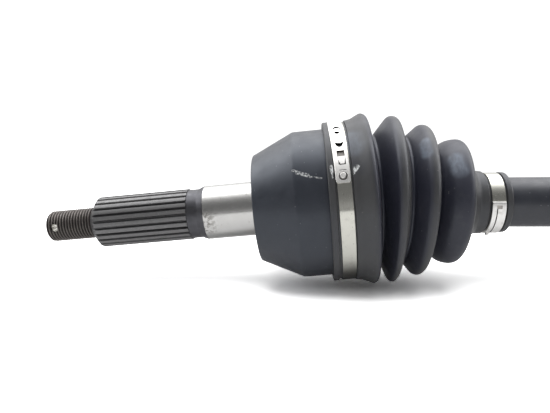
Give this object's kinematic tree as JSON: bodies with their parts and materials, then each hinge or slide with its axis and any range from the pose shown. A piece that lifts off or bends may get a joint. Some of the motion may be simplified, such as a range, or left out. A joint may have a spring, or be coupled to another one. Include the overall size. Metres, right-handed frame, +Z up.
{
  "type": "cv axle",
  "caption": "Half shaft with a fixed ball joint and threaded, splined wheel stub at one end and a plunging ball joint and splined gearbox stub at the other, under folded rubber boots.",
  "frame": {"origin": "centre of the outboard joint, where the wheel stub's axis and the bar's axis cross", "axes": "+X along the bar towards the inboard joint, +Z up; the wheel stub points along -X and rests 5 degrees below the bar's axis, in the XZ plane"},
  "size_m": [0.5375, 0.0846, 0.0865],
  "materials": {
    "housing_paint": "satin black paint on a steel forging; ground journal and spline left bare",
    "bar_paint": "satin black paint on a steel bar",
    "bearing_steel": "ground and greased bearing steel",
    "spring_steel": "dark oiled spring steel",
    "boot_rubber": "moulded charcoal rubber, soft sheen",
    "clamp_steel": "bright stainless band"
  },
  "bodies": {
    "half_shaft": {"axle_shaft": "bar_paint", "outboard_inner_race": "bearing_steel", "outboard_race_circlip": "spring_steel", "outboard_stop_ring": "spring_steel", "outboard_small_clamp": "clamp_steel", "outboard_boot": "boot_rubber", "inboard_inner_race": "bearing_steel", "inboard_race_circlip": "spring_steel", "inboard_stop_ring": "spring_steel", "inboard_small_clamp": "clamp_steel", "inboard_boot": "boot_rubber"},
    "wheel_cup": {"outboard_housing": "housing_paint", "outboard_large_clamp": "clamp_steel"},
    "outboard_ball_set": {"outboard_cage": "bearing_steel", "outboard_balls": "bearing_steel"},
    "inboard_ball_set": {"inboard_cage": "bearing_steel", "inboard_balls": "bearing_steel"},
    "gearbox_cup": {"inboard_housing": "housing_paint", "inboard_wire_ring": "spring_steel", "inboard_large_clamp": "clamp_steel", "inboard_stub_circlip": "spring_steel"}
  },
  "joints": [
    {"name": "outboard_flex", "type": "hinge", "parent": "half_shaft", "child": "wheel_cup", "pos_m": [0, 0, 0], "axis": [0, 1, 0], "range_deg": [-35, 45], "deforming": ["outboard_boot"]},
    {"name": "outboard_cage_lean", "type": "hinge", "parent": "half_shaft", "child": "outboard_ball_set", "pos_m": [0, 0, 0], "axis": [0, 1, 0], "range_deg": [-17.5, 22.5]},
    {"name": "inboard_flex", "type": "hinge", "parent": "half_shaft", "child": "inboard_ball_set", "pos_m": [0.3, 0, 0], "axis": [0, 1, 0], "range_deg": [-20, 20], "deforming": ["inboard_boot"]},
    {"name": "inboard_plunge", "type": "slide", "parent": "inboard_ball_set", "child": "gearbox_cup", "axis": [1, 0, 0], "range_m": [-0.012, 0.012], "deforming": ["inboard_boot"]}
  ],
  "couplings": [
    {"joint": "outboard_cage_lean", "follows": "outboard_flex", "ratio": 0.5}
  ]
}
